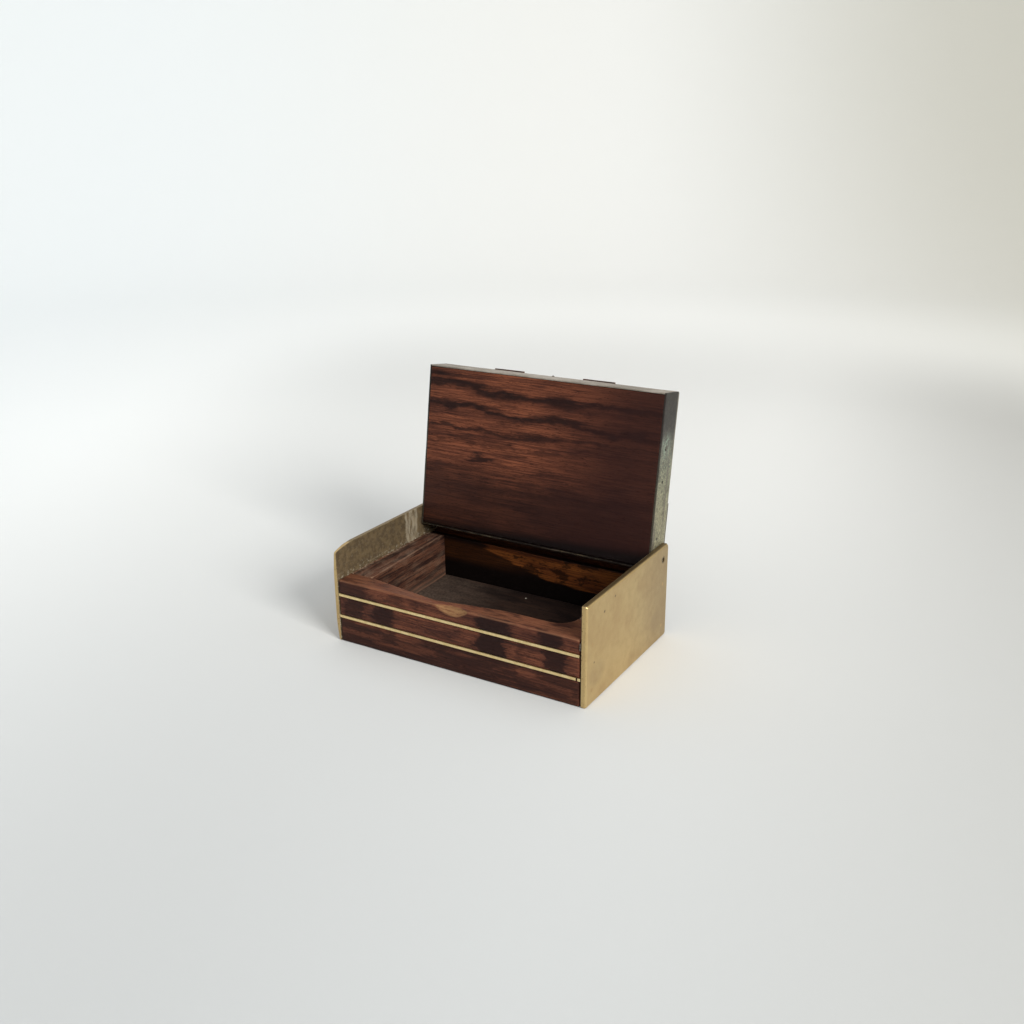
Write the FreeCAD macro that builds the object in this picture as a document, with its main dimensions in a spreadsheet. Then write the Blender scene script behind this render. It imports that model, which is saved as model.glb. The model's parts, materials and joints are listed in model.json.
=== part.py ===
import FreeCAD, Part
import math
import os
import re

import Sketcher
from FreeCAD import Rotation, Vector

# Small rosewood box with brass side plates, two brass lines let into its front and a
# metal-clad wooden lid that swings between the plates on two pins near its rear edge.
#
# Frame: +X to the right, +Y to the back, +Z up, in millimetres. The origin is the centre of
# the base, on the surface that the box stands on. The lid is modelled open, at rest on the
# raised lip of the back board.

doc = FreeCAD.newDocument("inlaid_box")

# ---------------------------------------------------------------- driving dimensions

SIZES = {
    # side plates
    "inner_width": 120.0,      # clear width between the plates
    "plate_thick": 2.5,
    "box_depth": 78.0,
    "plate_height": 44.0,
    "front_corner": 0.8,       # corner radii of the plate outline
    "rear_corner": 1.6,
    "front_bevel": 0.7,        # bevel on the outer front edge
    "plate_easing": 0.25,      # rounding of the other outer edges
    # tray boards
    "left_gap": 0.15,          # joint between boards and plate
    "right_gap": 0.6,          # the right plate has come away a little
    "rim_height": 29.4,
    "front_board": 9.5,
    "back_board": 7.5,
    "left_board_front": 11.4,  # the left end board is not quite parallel
    "left_board_rear": 8.7,
    "right_board": 9.8,
    "floor_board": 8.0,
    "cove_radius": 8.0,        # hollow front right corner
    "arris_round": 0.45,       # worn outer top edge of the front board
    "rim_easing": 0.3,
    # back lip and swing relief
    "lip_thick": 1.8,
    "lip_height": 33.45,       # just under the open lid
    "relief_radius": 9.5,
    # thumb-nail notch in the front board's top edge
    "notch_x": -0.5,
    "notch_sphere": 18.3,
    "notch_ahead": 14.0,       # sphere centre in front of the face
    "notch_above": 7.95,       # sphere centre above the rim
    # long scoop pared into the front board's inner top edge
    "scoop_start": -48.0,
    "scoop_deep": -11.0,
    "scoop_end": 22.0,
    "scoop_radius": 5.5,
    # inlaid lines
    "line_high": 1.2,
    "line_deep": 1.5,
    "line_proud": 0.05,
    "line_end": 0.1,           # the strips stop this far short of the front board's right end
    "upper_line": 22.4,        # heights of the lines' centres
    "lower_line": 12.2,
    "stub_start": 58.55,
    "stub_gap": 0.7,
    "stub_over": 0.4,          # the stub reaches past the end of the wood
    # hinge
    "pin_back": 72.3,          # hinge axis behind the front face
    "pin_up": 37.9,            # and above the base
    "pin_dia": 2.0,
    "pin_sunk": 0.4,           # pin ends lie this far inside the plates' outer faces
    "pin_length": 10.5,
    "pin_play": 0.05,          # radial clearance in the lid
    "press_play": 0.02,        # radial clearance of a pin that is driven in
    # flush pins that hold the plates
    "flush_dia": 1.6,
    "flush_length": 10.0,
    "flush_front": 4.75,
    "flush_back": 72.6,
    "flush_low": 6.5,
    "flush_high_front": 26.2,
    "flush_high_back": 26.4,
    # steel wedge in the open joint
    "wedge_low": 25.1,
    "wedge_high": 28.0,
    "wedge_deep": 3.2,
    "wedge_proud": 0.3,
    "wedge_slack": 0.04,
    # lid
    "lid_lean": 9.0,           # degrees past the vertical when open
    "lid_width": 119.2,
    "lid_length": 76.4,
    "lid_thick": 14.3,
    "sheet": 0.6,
    "fold": 1.2,               # outer radius of the folded sheet
    "pin_in": 3.7,             # hinge axis in front of the lid's rear edge
    "pin_deep": 8.4,           # and above the lid's inner face
    "nail_dia": 1.2,
    "nail_long": 6.0,
    "nail_proud": 0.1,
    "nail_rear": 13.0,         # nails along the lid's ends, from its rear edge
    "nail_mid": 38.0,
    "nail_front": 52.0,
    "nail_line": 5.5,          # and from its inner face
    # raised pieces on the lid's outer face
    "strap_wide": 8.0,
    "strap_start": 2.5,
    "strap_end": 27.4,
    "strap_thick": 1.0,
    "bar_long": 15.7,
    "bar_near": 15.3,          # from the stud to the near end of each bar
    "bar_wide": 4.4,
    "bar_thick": 1.0,
    "bar_over": 0.45,          # overhang past the lid's front edge
    "stud_x": -2.0,
    "stud_dia": 1.8,
    "stud_high": 0.7,
    "stud_in": 0.65,           # stud centre from the lid's front edge
}

sheet = doc.addObject("Spreadsheet::Sheet", "Sizes")
for row, (alias, number) in enumerate(SIZES.items(), start=1):
    sheet.set("A%d" % row, alias)
    sheet.set("B%d" % row, str(number))
    sheet.setAlias("B%d" % row, alias)
doc.recompute()


def cell(text):
    """Turn a formula written with bare aliases into one that reads the sheet."""
    return re.sub(r"[a-z_]+", lambda word: "Sizes." * (word.group() in SIZES) + word.group(), text)


def amount(text):
    """The present value of a formula, in millimetres or degrees."""
    answer = sheet.evalExpression(cell(text))
    return float(getattr(answer, "Value", answer))


# Formulas used by several pieces, in the box frame.
WOOD_LEFT = "(left_gap - inner_width / 2)"
WOOD_RIGHT = "(inner_width / 2 - right_gap)"
WOOD_LENGTH = "(inner_width - left_gap - right_gap)"
FRONT = "(-box_depth / 2)"
BACK = "(box_depth / 2)"
LEAN = "lid_lean * 1 deg"


# ---------------------------------------------------------------- small helpers

def bind(thing, prop, text):
    thing.setExpression(prop, cell(text))


def place(thing, x, y, z):
    for axis, text in zip("xyz", (x, y, z)):
        bind(thing, "Placement.Base." + axis, text)


def place_on_lid(thing, x, outward, forward, turn=None):
    """Place a piece by its distances from the open lid's left end, inner face and rear edge.

    It leans with the lid, unless it has a turn of its own.
    """
    if turn:
        thing.Placement.Rotation = turn
    else:
        thing.Placement.Rotation = Rotation(Vector(-1, 0, 0), SIZES["lid_lean"])
        bind(thing, "Placement.Rotation.Angle", LEAN)
    out = "(%s - pin_deep)" % outward
    along = "(%s - pin_in)" % forward
    place(
        thing,
        "-lid_width / 2 + %s" % x,
        "%s + pin_back + %s * cos(%s) + %s * sin(%s)" % (FRONT, out, LEAN, along, LEAN),
        "pin_up - %s * sin(%s) + %s * cos(%s)" % (out, LEAN, along, LEAN),
    )


def new_body(label):
    body = doc.addObject("PartDesign::Body", label)
    body.Label = label
    return body


def new_sketch(body, role, name):
    plane = next(item for item in body.Origin.OriginFeatures if item.Role == role)
    sketch = body.newObject("Sketcher::SketchObject", body.Label + "_" + name)
    sketch.AttachmentSupport = [(plane, "")]
    sketch.MapMode = "FlatFace"
    return sketch


def fix_coordinate(sketch, kind, line, end, text):
    """Hold one coordinate of a point: on the axis where the formula is 0, else by a distance."""
    if text == "0":
        axis = -2 if kind == "DistanceX" else -1
        sketch.addConstraint(Sketcher.Constraint("PointOnObject", line, end, axis))
        return
    index = sketch.addConstraint(Sketcher.Constraint(kind, -1, 1, line, end, amount(text)))
    bind(sketch, "Constraints[%d]" % index, text)


def outline(sketch, corners, cove=None, backward=False):
    """A closed outline through corners given as pairs of formulas.

    The side numbered cove is the quarter arc of the tray's hollow corner, and the others are
    straight. The arc is drawn from its lower end, so backward says that the outline meets its
    upper end first.
    """
    points = [Vector(amount(x), amount(y), 0) for x, y in corners]
    count = len(points)
    first = [1] * count
    sides = []
    for i in range(count):
        side = Part.LineSegment(points[i], points[(i + 1) % count])
        if i == cove:
            low = points[(i + 1) % count] if backward else points[i]
            centre = low + Vector(0, amount("cove_radius"), 0)
            ring = Part.Circle(centre, Vector(0, 0, 1), amount("cove_radius"))
            side = Part.ArcOfCircle(ring, -math.pi / 2, 0)
            first[i] = 2 if backward else 1
        sides.append(sketch.addGeometry(side, False))
    for i, side in enumerate(sides):
        j = (i + 1) % count
        sketch.addConstraint(Sketcher.Constraint("Coincident", side, 3 - first[i], sides[j], first[j]))
        fix_coordinate(sketch, "DistanceX", side, first[i], corners[i][0])
        fix_coordinate(sketch, "DistanceY", side, first[i], corners[i][1])
    if cove is not None:
        index = sketch.addConstraint(Sketcher.Constraint("Radius", sides[cove], amount("cove_radius")))
        bind(sketch, "Constraints[%d]" % index, "cove_radius")


def rectangle(sketch, left, right, low, high):
    outline(sketch, [(left, low), (right, low), (right, high), (left, high)])


def circle(sketch, x, y, radius):
    shape = Part.Circle(Vector(amount(x), amount(y), 0), Vector(0, 0, 1), amount(radius))
    ring = sketch.addGeometry(shape, False)
    fix_coordinate(sketch, "DistanceX", ring, 3, x)
    fix_coordinate(sketch, "DistanceY", ring, 3, y)
    index = sketch.addConstraint(Sketcher.Constraint("Radius", ring, amount(radius)))
    bind(sketch, "Constraints[%d]" % index, radius)


def pad(body, sketch, length, name="pad"):
    feature = body.newObject("PartDesign::Pad", body.Label + "_" + name)
    feature.Profile = sketch
    bind(feature, "Length", length)
    sketch.Visibility = False
    doc.recompute()
    return feature


def pocket(body, sketch, length=None, reverse=False, name="cut"):
    """Cut a sketch into the body, through everything when no length is given."""
    before = body.Tip.Shape.Volume
    feature = body.newObject("PartDesign::Pocket", body.Label + "_" + name)
    feature.Profile = sketch
    feature.Reversed = reverse
    if length is None:
        feature.Type = "ThroughAll"
    else:
        bind(feature, "Length", length)
    doc.recompute()
    if feature.Shape.Volume > before - 1e-3:
        raise RuntimeError("%s cut nothing" % feature.Name)


def dress(body, kind, radius, test, name):
    """Fillet or chamfer every edge of the body's tip that passes a test."""
    base = body.Tip
    names = ["Edge%d" % (i + 1) for i, edge in enumerate(base.Shape.Edges) if test(edge)]
    if not names:
        raise RuntimeError("no edge to dress on " + body.Label)
    feature = body.newObject("PartDesign::" + kind, body.Label + "_" + name)
    feature.Base = (base, names)
    bind(feature, "Radius" if kind == "Fillet" else "Size", radius)
    doc.recompute()


def spans(edge, axis):
    """How far an edge runs along an axis, 0, 1 or 2."""
    box = edge.BoundBox
    return (box.XLength, box.YLength, box.ZLength)[axis]


def middle(edge):
    return edge.BoundBox.Center


def near(value, text):
    return abs(value - amount(text)) < 1e-4


def running(axis, least, **places):
    """A test for edges that run more than least along an axis, with their middle at these places."""
    def test(edge):
        centre = middle(edge)
        return spans(edge, axis) > least and all(
            near(getattr(centre, name), text) for name, text in places.items())
    return test


def lying_at(y):
    """A test for edges that lie flat in the plane of this y."""
    def test(edge):
        return near(edge.BoundBox.YMin, y) and near(edge.BoundBox.YMax, y)
    return test


# ---------------------------------------------------------------- side plates and their pins

FLUSH_PINS = [
    ("flush_front", "flush_low"),
    ("flush_front", "flush_high_front"),
    ("flush_back", "flush_low"),
    ("flush_back", "flush_high_back"),
]


def side_plate(label, x, outer):
    """One brass plate. outer is where its outer face lies in its own thickness, 0 or plate_thick."""
    body = new_body(label)
    place(body, x, FRONT, "0")
    profile = new_sketch(body, "YZ_Plane", "profile")
    rectangle(profile, "0", "box_depth", "0", "plate_height")
    pad(body, profile, "plate_thick")
    holes = new_sketch(body, "YZ_Plane", "holes")
    circle(holes, "pin_back", "pin_up", "pin_dia / 2 + press_play")
    for y, z in FLUSH_PINS:
        circle(holes, y, z, "flush_dia / 2 + press_play")
    pocket(body, holes, reverse=True, name="bores")
    dress(body, "Fillet", "rear_corner", running(0, 1, y="box_depth"), "rear")
    dress(body, "Fillet", "front_corner", running(0, 1, y="0"), "front")
    dress(body, "Chamfer", "front_bevel", running(2, 10, x=outer, y="0"), "bevel")
    dress(body, "Fillet", "plate_easing", running(1, 50, z="plate_height"), "easing")


side_plate("side_plate_left", "-inner_width / 2 - plate_thick", "0")
side_plate("side_plate_right", "inner_width / 2", "plate_thick")


def hinge_pin(label, x):
    """A round rod along +X with slightly rounded ends."""
    body = new_body(label)
    section = new_sketch(body, "YZ_Plane", "section")
    circle(section, "0", "0", "pin_dia / 2")
    pad(body, section, "pin_length")
    dress(body, "Fillet", "pin_dia / 8", lambda edge: len(edge.Vertexes) == 1, "ends")
    place(body, x, FRONT + " + pin_back", "pin_up")


hinge_pin("hinge_pin_left", "-inner_width / 2 - plate_thick + pin_sunk")
hinge_pin("hinge_pin_right", "inner_width / 2 + plate_thick - pin_sunk - pin_length")


def pin_group(label, pins):
    """Identical cylinders along X, each a separate solid, in one compound."""
    members = []
    for number, (diameter, length, put) in enumerate(pins, start=1):
        member = doc.addObject("Part::Cylinder", "%s_%d" % (label, number))
        bind(member, "Radius", diameter + " / 2")
        bind(member, "Height", length)
        put(member)
        members.append(member)
    group = doc.addObject("Part::Compound", label)
    group.Label = label
    group.Links = members
    return group


TURN_TO_X = Rotation(Vector(0, 1, 0), 90)


def flush_pin(x, y, z):
    def put(member):
        member.Placement.Rotation = TURN_TO_X
        place(member, x, FRONT + " + " + y, z)
    return put


for side, start in (
    ("left", "-inner_width / 2 - plate_thick"),
    ("right", "inner_width / 2 + plate_thick - flush_length"),
):
    pins = [("flush_dia", "flush_length", flush_pin(start, y, z)) for y, z in FLUSH_PINS]
    pin_group("plate_pins_" + side, pins)


# ---------------------------------------------------------------- tray boards

def flush_holes(body, pair, y_offset=None):
    """Blind holes for one pair of flush pins in both ends of a full-length board."""
    for end in ("left", "right"):
        sketch = new_sketch(body, "YZ_Plane", "flush_" + end)
        if end == "right":
            bind(sketch, "AttachmentOffset.Base.z", WOOD_LENGTH)
        for y, z in FLUSH_PINS:
            if y == pair:
                along = "%s - %s" % (y, y_offset) if y_offset else y
                circle(sketch, along, z, "flush_dia / 2 + press_play")
        depth = "flush_length - plate_thick + 0.1 - %s_gap" % end
        pocket(body, sketch, depth, reverse=(end == "left"), name="flush_%s_cut" % end)


def tray_front():
    """Front board: grooved for the lines, notched and scooped on top, with a coved return."""
    body = new_body("tray_front")
    place(body, WOOD_LEFT, FRONT, "0")
    plan = new_sketch(body, "XY_Plane", "plan")
    inner = WOOD_LENGTH + " - right_board"
    foot = inner + " - cove_radius"
    reach = "front_board + cove_radius"
    corners = [
        ("0", "0"), (WOOD_LENGTH, "0"), (WOOD_LENGTH, reach), (inner, reach),
        (foot, "front_board"), ("0", "front_board"),
    ]
    outline(plan, corners, cove=3, backward=True)
    pad(body, plan, "rim_height")

    grooves = new_sketch(body, "XZ_Plane", "grooves")
    for height in ("upper_line", "lower_line"):
        rectangle(grooves, "0", WOOD_LENGTH, height + " - line_high / 2", height + " + line_high / 2")
    pocket(body, grooves, "line_deep - line_proud", name="groove_cut")

    flush_holes(body, "flush_front")

    dress(body, "Fillet", "arris_round", running(0, 50, y="0", z="rim_height"), "arris")

    notch = body.newObject("PartDesign::SubtractiveSphere", "tray_front_notch")
    bind(notch, "Radius", "notch_sphere")
    place(notch, "notch_x - %s" % WOOD_LEFT, "-notch_ahead", "rim_height + notch_above")
    doc.recompute()
    scoop_half(body, "scoop_start", "0", "scoop_radius", "scoop_deep - scoop_start")
    scoop_half(body, "scoop_deep", "scoop_radius", "0", "scoop_end - scoop_deep")


def scoop_half(body, start, radius_left, radius_right, length):
    """One end of the scoop, a flat cone lying along the front board's inner top edge."""
    cone = body.newObject("PartDesign::SubtractiveCone", "tray_front_scoop")
    cone.Placement.Rotation = TURN_TO_X
    for prop, radius in (("Radius1", radius_left), ("Radius2", radius_right)):
        setattr(cone, prop, amount(radius))
        bind(cone, prop, radius)
    bind(cone, "Height", length)
    place(cone, "%s - %s" % (start, WOOD_LEFT), "front_board", "rim_height")
    doc.recompute()


def swing_relief(body, y_offset):
    """Hollow the top of a board where the lid's rear edge swings past it."""
    sketch = new_sketch(body, "YZ_Plane", "relief")
    circle(sketch, "pin_back - %s" % y_offset, "pin_up", "relief_radius")
    pocket(body, sketch, reverse=True, name="relief_cut")


def tray_back():
    """Back board: relieved where the lid swings, with a thin lip standing above the rim."""
    body = new_body("tray_back")
    place(body, WOOD_LEFT, BACK + " - back_board", "0")
    profile = new_sketch(body, "YZ_Plane", "profile")
    rectangle(profile, "0", "back_board", "0", "rim_height")
    pad(body, profile, WOOD_LENGTH)
    swing_relief(body, "(box_depth - back_board)")
    lip = new_sketch(body, "YZ_Plane", "lip")
    rectangle(lip, "back_board - lip_thick", "back_board", "floor_board", "lip_height")
    pad(body, lip, WOOD_LENGTH, name="lip_pad")
    flush_holes(body, "flush_back", "(box_depth - back_board)")
    dress(body, "Fillet", "rim_easing", running(0, 50, z="lip_height"), "lip_easing")


def tray_end(label, x_front, x_rear, y_front, flat):
    """End board between the front and back boards. flat is the outer side's x."""
    body = new_body(label)
    place(body, WOOD_LEFT, FRONT, "0")
    plan = new_sketch(body, "XY_Plane", "plan")
    back = "(box_depth - back_board)"
    if flat == "0":
        corners = [("0", y_front), (x_front, y_front), (x_rear, back), ("0", back)]
    else:
        corners = [(x_front, y_front), (flat, y_front), (flat, back), (x_rear, back)]
    outline(plan, corners)
    pad(body, plan, "rim_height")
    swing_relief(body, "0")
    on_top = running(1, 20, z="rim_height")
    dress(body, "Fillet", "rim_easing", lambda e: on_top(e) and not near(middle(e).x, flat), "easing")


def tray_floor():
    """Floor board, shaped to the four boards round it."""
    body = new_body("tray_floor")
    place(body, WOOD_LEFT, FRONT, "0")
    plan = new_sketch(body, "XY_Plane", "plan")
    right = WOOD_LENGTH + " - right_board"
    foot = right + " - cove_radius"
    corners = [
        ("left_board_front", "front_board"), (foot, "front_board"),
        (right, "front_board + cove_radius"), (right, "box_depth - back_board"),
        ("left_board_rear", "box_depth - back_board"),
    ]
    outline(plan, corners, cove=1)
    pad(body, plan, "floor_board")


tray_front()
tray_back()
tray_end("tray_end_left", "left_board_front", "left_board_rear", "front_board", "0")
tray_end(
    "tray_end_right", WOOD_LENGTH + " - right_board", WOOD_LENGTH + " - right_board",
    "front_board + cove_radius", WOOD_LENGTH)
tray_floor()


# ---------------------------------------------------------------- inlaid lines and the wedge

def inlay(label, x_start, length, height):
    """One brass strip, a hair proud of the front face."""
    body = new_body(label)
    place(body, x_start, FRONT + " - line_proud", height + " - line_high / 2")
    plan = new_sketch(body, "XY_Plane", "plan")
    rectangle(plan, "0", length, "0", "line_deep")
    pad(body, plan, "line_high")


inlay("inlay_upper", WOOD_LEFT, WOOD_LENGTH + " - line_end", "upper_line")
inlay("inlay_lower", WOOD_LEFT, "stub_start - stub_gap - " + WOOD_LEFT, "lower_line")
inlay("inlay_lower_stub", "stub_start", WOOD_RIGHT + " + stub_over - stub_start", "lower_line")

wedge = doc.addObject("Part::Wedge", "joint_wedge")
wedge.Label = "joint_wedge"
wedge.Xmin = 0
wedge.Ymin = 0
wedge.Zmin = 0
bind(wedge, "Xmax", "right_gap - 2 * wedge_slack")
bind(wedge, "Ymax", "wedge_deep")
bind(wedge, "Zmax", "wedge_high - wedge_low")
bind(wedge, "X2max", "right_gap / 2")
wedge.X2min = 0
wedge.Z2min = 0
bind(wedge, "Z2max", "wedge_high - wedge_low")
place(wedge, WOOD_RIGHT + " + wedge_slack", FRONT + " - wedge_proud", "wedge_low")


# ---------------------------------------------------------------- lid

def end_bores(body, depth, length):
    """Bores for the hinge pin and the nails in both ends of the wooden panel."""
    for end in ("left", "right"):
        for part, radius, spots, long in (
            ("pin", "pin_dia / 2 + pin_play", [("pin_deep", "pin_in - sheet")], depth),
            ("nails", "nail_dia / 2 + press_play",
             [("nail_line", spot + " - sheet") for spot in ("nail_rear", "nail_mid", "nail_front")],
             "nail_long"),
        ):
            name = "bore_%s_%s" % (part, end)
            sketch = new_sketch(body, "YZ_Plane", name)
            if end == "right":
                bind(sketch, "AttachmentOffset.Base.z", length)
            for y, z in spots:
                circle(sketch, y, z, radius)
            pocket(body, sketch, long, reverse=(end == "left"), name=name + "_cut")


def lid_panel():
    """Wooden panel inside the folded sheet, its inner face flush with the sheet's edges."""
    body = new_body("lid_panel")
    place_on_lid(body, "sheet", "0", "sheet")
    length = "lid_width - 2 * sheet"
    profile = new_sketch(body, "YZ_Plane", "profile")
    rectangle(profile, "0", "lid_thick - sheet", "0", "lid_length - 2 * sheet")
    pad(body, profile, length)
    dress(body, "Fillet", "fold - sheet", running(0, 50, y="lid_thick - sheet"), "folds")
    end_bores(body, "pin_length - plate_thick + 0.5", length)


def lid_cover():
    """One sheet over the outer face, folded down over the rear and front edges."""
    body = new_body("lid_cover")
    place_on_lid(body, "sheet", "0", "0")
    profile = new_sketch(body, "YZ_Plane", "profile")
    rectangle(profile, "0", "lid_thick", "0", "lid_length")
    pad(body, profile, "lid_width - 2 * sheet")
    dress(body, "Fillet", "fold", running(0, 50, y="lid_thick"), "folds")
    hollow = new_sketch(body, "YZ_Plane", "hollow")
    rectangle(hollow, "0", "lid_thick - sheet", "sheet", "lid_length - sheet")
    pocket(body, hollow, reverse=True, name="hollow_cut")
    dress(body, "Fillet", "fold - sheet", running(0, 50, y="lid_thick - sheet"), "inner_folds")


def lid_end(label, x):
    """End sheet, rounded where it follows the folds."""
    body = new_body(label)
    place_on_lid(body, x, "0", "0")
    profile = new_sketch(body, "YZ_Plane", "profile")
    rectangle(profile, "0", "lid_thick", "0", "lid_length")
    pad(body, profile, "sheet")
    dress(body, "Fillet", "fold", running(0, 0.1, y="lid_thick"), "corners")
    holes = new_sketch(body, "YZ_Plane", "holes")
    circle(holes, "pin_deep", "pin_in", "pin_dia / 2 + pin_play")
    for spot in ("nail_rear", "nail_mid", "nail_front"):
        circle(holes, "nail_line", spot, "nail_dia / 2 + press_play")
    pocket(body, holes, reverse=True, name="bores")


def end_nail(x, spot):
    """A nail lies along X, so its own turn does not depend on the lid's lean."""
    def put(member):
        place_on_lid(member, x, "nail_line", spot, turn=TURN_TO_X)
    return put


lid_panel()
lid_cover()
lid_end("lid_end_left", "0")
lid_end("lid_end_right", "lid_width - sheet")
for side, start in (("left", "0 - nail_proud"), ("right", "lid_width + nail_proud - nail_long")):
    nails = [
        ("nail_dia", "nail_long", end_nail(start, spot))
        for spot in ("nail_rear", "nail_mid", "nail_front")
    ]
    pin_group("lid_end_pins_" + side, nails)


def raised_block(label, x, forward, length, wide, thick, easing):
    """A flat block on the lid's outer face: length across the lid, wide along it."""
    body = new_body(label)
    place_on_lid(body, x, "lid_thick", forward)
    plan = new_sketch(body, "YZ_Plane", "section")
    rectangle(plan, "0", thick, "0", wide)
    pad(body, plan, length)
    dress(body, "Fillet", easing, lying_at(thick), "easing")


for side, x in (("left", "0"), ("right", "lid_width - strap_wide")):
    raised_block(
        "lid_strap_" + side, x, "strap_start", "strap_wide", "strap_end - strap_start",
        "strap_thick", "strap_thick / 4")
for side, x in (
    ("left", "lid_width / 2 + stud_x - bar_near - bar_long"),
    ("right", "lid_width / 2 + stud_x + bar_near"),
):
    raised_block(
        "lid_bar_" + side, x, "lid_length + bar_over - bar_wide", "bar_long", "bar_wide",
        "bar_thick", "bar_thick / 5")

stud = new_body("lid_stud")
place_on_lid(stud, "lid_width / 2 + stud_x", "lid_thick", "lid_length - stud_in")
stud_plan = new_sketch(stud, "XZ_Plane", "plan")
circle(stud_plan, "0", "0", "stud_dia / 2")
stud_pad = pad(stud, stud_plan, "stud_high")
stud_pad.Reversed = True
doc.recompute()
dress(stud, "Fillet", "stud_high * 0.6", lying_at("stud_high"), "dome")


# ---------------------------------------------------------------- checks and export

NODES = [
    "side_plate_left", "side_plate_right",
    "tray_front", "tray_back", "tray_end_left", "tray_end_right", "tray_floor",
    "inlay_upper", "inlay_lower", "inlay_lower_stub",
    "hinge_pin_left", "hinge_pin_right", "plate_pins_left", "plate_pins_right", "joint_wedge",
    "lid_panel", "lid_cover", "lid_end_left", "lid_end_right",
    "lid_end_pins_left", "lid_end_pins_right",
    "lid_strap_left", "lid_strap_right", "lid_bar_left", "lid_bar_right", "lid_stud",
]

doc.recompute()
for thing in doc.Objects:
    if "Invalid" in thing.State or "Error" in thing.State:
        raise RuntimeError("%s failed: %s" % (thing.Name, thing.State))

os.makedirs("parts", exist_ok=True)
for label in NODES:
    shape = doc.getObjectsByLabel(label)[0].Shape
    if shape.isNull() or not shape.isValid():
        raise RuntimeError("bad shape: " + label)
    shape.exportStep("parts/%s.step" % label)
    print("%-20s %2d solid %9.1f mm3" % (label, len(shape.Solids), shape.Volume))
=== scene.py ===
import json
import math

import bmesh
import bpy
import numpy as np
from mathutils import Euler, Matrix, Vector, noise


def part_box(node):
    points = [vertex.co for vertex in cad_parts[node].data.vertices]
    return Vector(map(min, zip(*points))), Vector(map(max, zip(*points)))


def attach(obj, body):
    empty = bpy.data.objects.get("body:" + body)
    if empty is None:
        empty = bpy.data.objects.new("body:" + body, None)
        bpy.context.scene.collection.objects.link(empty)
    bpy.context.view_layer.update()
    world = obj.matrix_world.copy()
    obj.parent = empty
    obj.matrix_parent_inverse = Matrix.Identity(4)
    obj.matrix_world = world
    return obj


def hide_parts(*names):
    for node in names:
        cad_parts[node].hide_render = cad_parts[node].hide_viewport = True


# Looks of the inlaid rosewood box with brass side plates and a metal-clad lid. The boards, plates and
# sheets are rebuilt as worn pieces in place of their CAD nodes. Small pins, nails, strips and the wedge
# keep their CAD shape. The materials, and the levels below, count in millimetres. Meshes, lamps and the
# camera are in metres.

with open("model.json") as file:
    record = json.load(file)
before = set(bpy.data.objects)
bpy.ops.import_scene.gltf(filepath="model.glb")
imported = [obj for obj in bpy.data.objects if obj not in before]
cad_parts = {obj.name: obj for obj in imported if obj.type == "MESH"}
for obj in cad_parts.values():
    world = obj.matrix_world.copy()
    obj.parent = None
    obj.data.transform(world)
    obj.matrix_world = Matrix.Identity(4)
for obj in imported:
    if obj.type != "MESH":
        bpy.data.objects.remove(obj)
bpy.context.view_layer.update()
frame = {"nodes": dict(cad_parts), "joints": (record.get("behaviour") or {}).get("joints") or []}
noise.seed_set(1)          # mathutils otherwise offsets its noise by the clock

MM = 0.001
nodes = frame["nodes"]
hinge = frame["joints"][0]
LEAN = math.radians(hinge["range_deg"][1] - 90)     # the open lid's lean past the vertical


# ------------------------------------------------------------------------------ the lid's own axes

# In the lid's axes X runs across, Y out through its thickness and Z from its rear edge to its front
# edge, so "along" is the distance from the rear edge and "thick" the distance out from the inner face.
TURN_LID = Matrix.Rotation(LEAN, 4, "X")


def lid_corner():
    """Lowest corner of the lid's end sheet in axes turned with the lid."""
    corners = np.array([TURN_LID @ v.co for v in nodes["lid_end_left"].data.vertices])
    return corners.min(axis=0)


LID_LOW = lid_corner()
TO_LID = Matrix.Translation((0, -LID_LOW[1], -LID_LOW[2])) @ TURN_LID


def lid_size():
    corners = np.array([TO_LID @ v.co for v in nodes["lid_end_left"].data.vertices])
    return corners.max(axis=0)


LID_THICK, LID_LONG = lid_size()[1:] / MM

# Levels of the tray and plates in millimetres.
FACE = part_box("tray_front")[0].y / MM
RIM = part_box("tray_end_left")[1].z / MM
FLOOR_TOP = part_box("tray_floor")[1].z / MM
LINES = [sum(corner.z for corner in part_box(node)) / 2 / MM for node in ("inlay_lower", "inlay_upper")]
PLATE_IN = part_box("side_plate_right")[0].x / MM
PLATE_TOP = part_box("side_plate_right")[1].z / MM
BACK_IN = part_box("tray_back")[0].y / MM
DEPTH = (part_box("side_plate_right")[1].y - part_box("side_plate_right")[0].y) / MM
PIN_BACK = hinge["pos_m"][1] / MM - FACE
PIN_UP = hinge["pos_m"][2] / MM


# ------------------------------------------------------------------------------ node graphs

def rgb(text):
    """Linear colour of a hex triple."""
    parts = [int(text[i:i + 2], 16) / 255 for i in (1, 3, 5)]
    return [c / 12.92 if c <= 0.04045 else ((c + 0.055) / 1.055) ** 2.4 for c in parts] + [1.0]


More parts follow.
